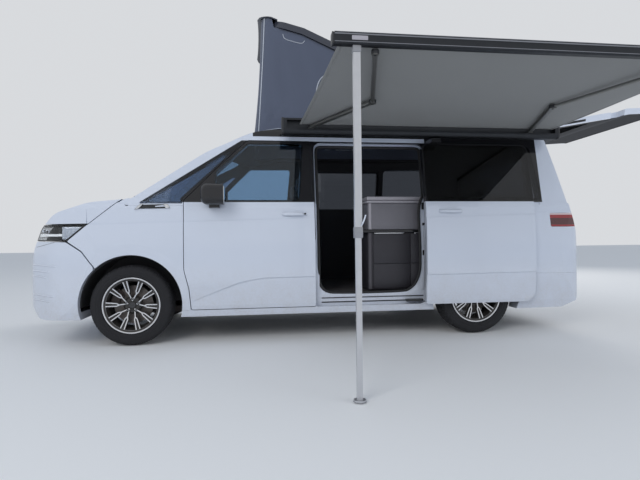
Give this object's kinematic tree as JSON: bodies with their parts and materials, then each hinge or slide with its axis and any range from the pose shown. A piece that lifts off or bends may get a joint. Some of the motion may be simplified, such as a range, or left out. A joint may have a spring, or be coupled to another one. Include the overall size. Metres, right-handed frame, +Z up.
{
  "type": "camper van with lifting roof",
  "caption": "Long camper van with a rear-hinged lifting roof raised, left side door slid back, tailgate up and a side awning out on folding arms and telescopic legs.",
  "frame": {"origin": "on the ground under the centre of the bounding box, awning included", "axes": "+X forwards, +Y to the van's left, the awning side, +Z up"},
  "size_m": [6.2088, 3.8334, 3.0202],
  "materials": {
    "body_paint": "gloss white paint",
    "black_trim": "gloss black",
    "dark_plastic": "grained dark plastic",
    "roof_shell": "gloss black shell",
    "clear_glass": "blue-tinted safety glass",
    "privacy_glass": "near-black privacy glass",
    "lamp_front": "smoked lamp cover",
    "lamp_rear": "red lamp lens",
    "lamp_bowl": "dark moulded lamp housing",
    "canvas": "slate coated cotton",
    "awning_cloth": "mid-grey awning cloth",
    "anthracite": "anthracite anodised",
    "silver": "natural anodised",
    "tyre": "black rubber",
    "rim": "black pockets with machined faces",
    "disc": "ground iron",
    "chassis": "black chassis paint",
    "engine": "bare casting",
    "tank": "moulded black",
    "exhaust_steel": "stainless",
    "cockpit": "soft dark plastic",
    "seat_cloth": "dark grey cloth",
    "furniture": "grey laminate"
  },
  "bodies": {
    "body": {"body_shell": "body_paint", "front_fenders": "body_paint", "front_bumper": "body_paint", "rear_bumper": "body_paint", "headlamp_lenses": "lamp_front", "headlamp_bowls": "lamp_bowl", "lower_grille": "black_trim", "upper_grille": "black_trim", "tail_lamp_lenses": "lamp_rear", "tail_lamp_bowls": "lamp_bowl", "windscreen": "clear_glass", "fixed_side_glass": "privacy_glass", "sliding_door_left": "body_paint", "sliding_door_right": "body_paint", "sliding_door_glass_left": "privacy_glass", "sliding_door_glass_right": "privacy_glass", "roof_canvas": "canvas", "awning_case": "anthracite", "awning_front_rail": "anthracite", "awning_fabric": "awning_cloth", "awning_arms": "silver", "awning_legs": "silver", "wheel_arch_liners": "dark_plastic", "front_subframe": "chassis", "rear_axle": "chassis", "engine_block": "engine", "fuel_tank": "tank", "exhaust": "exhaust_steel", "dashboard": "cockpit", "front_seats": "seat_cloth", "rear_seats": "seat_cloth", "kitchen_unit": "furniture"},
    "front_door_left": {"front_door_left": "body_paint", "front_door_glass_left": "clear_glass", "mirror_left": "black_trim"},
    "front_door_right": {"front_door_right": "body_paint", "front_door_glass_right": "clear_glass", "mirror_right": "black_trim"},
    "bonnet": {"bonnet": "body_paint"},
    "tailgate": {"tailgate": "body_paint", "tailgate_glass": "privacy_glass"},
    "pop_up_roof": {"pop_up_roof": "roof_shell"},
    "knuckle_left": {"steering_knuckle_left": "chassis"},
    "knuckle_right": {"steering_knuckle_right": "chassis"},
    "front_wheel_left": {"front_tyre_left": "tyre", "front_rim_left": "rim", "front_disc_left": "disc"},
    "front_wheel_right": {"front_tyre_right": "tyre", "front_rim_right": "rim", "front_disc_right": "disc"},
    "rear_wheel_left": {"rear_tyre_left": "tyre", "rear_rim_left": "rim", "rear_disc_left": "disc"},
    "rear_wheel_right": {"rear_tyre_right": "tyre", "rear_rim_right": "rim", "rear_disc_right": "disc"},
    "steering_wheel": {"steering_wheel": "cockpit"}
  },
  "joints": [
    {"name": "front_door_left_hinge", "type": "hinge", "parent": "body", "child": "front_door_left", "pos_m": [1.71, 0.213, 0.8], "axis": [0, 0, -1], "range_deg": [0, 65]},
    {"name": "front_door_right_hinge", "type": "hinge", "parent": "body", "child": "front_door_right", "pos_m": [1.71, -1.727, 0.8], "axis": [0, 0, 1], "range_deg": [0, 65]},
    {"name": "bonnet_hinge", "type": "hinge", "parent": "body", "child": "bonnet", "pos_m": [2.165, -0.757, 1.275], "axis": [0, -1, 0], "range_deg": [0, 50]},
    {"name": "tailgate_hinge", "type": "hinge", "parent": "body", "child": "tailgate", "pos_m": [-1.679, -0.757, 1.95], "axis": [0, 1, 0], "range_deg": [-85, 0]},
    {"name": "roof_hinge", "type": "hinge", "parent": "body", "child": "pop_up_roof", "pos_m": [-1.649, -0.757, 1.952], "axis": [0, 1, 0], "range_deg": [0, 23.5], "deforming": ["roof_canvas"]},
    {"name": "steer_left", "type": "hinge", "parent": "body", "child": "knuckle_left", "pos_m": [2.135, -0.005, 0.346], "axis": [0, 0, 1], "range_deg": [-33, 33]},
    {"name": "steer_right", "type": "hinge", "parent": "body", "child": "knuckle_right", "pos_m": [2.135, -1.509, 0.346], "axis": [0, 0, 1], "range_deg": [-33, 33]},
    {"name": "steering_wheel_turn", "type": "hinge", "parent": "body", "child": "steering_wheel", "pos_m": [1.445, -0.357, 1.045], "axis": [-0.8829, 0, 0.4695], "range_deg": [-500, 500]},
    {"name": "front_wheel_left_spin", "type": "hinge", "parent": "knuckle_left", "child": "front_wheel_left", "pos_m": [2.135, 0.065, 0.346], "axis": [0, 1, 0], "continuous": true},
    {"name": "front_wheel_right_spin", "type": "hinge", "parent": "knuckle_right", "child": "front_wheel_right", "pos_m": [2.135, -1.579, 0.346], "axis": [0, 1, 0], "continuous": true},
    {"name": "rear_wheel_left_spin", "type": "hinge", "parent": "body", "child": "rear_wheel_left", "pos_m": [-0.989, 0.065, 0.346], "axis": [0, 1, 0], "continuous": true},
    {"name": "rear_wheel_right_spin", "type": "hinge", "parent": "body", "child": "rear_wheel_right", "pos_m": [-0.989, -1.579, 0.346], "axis": [0, 1, 0], "continuous": true}
  ],
  "couplings": [
    {"joint": "steer_right", "follows": "steer_left", "ratio": 1},
    {"joint": "steering_wheel_turn", "follows": "steer_left", "ratio": 15}
  ]
}
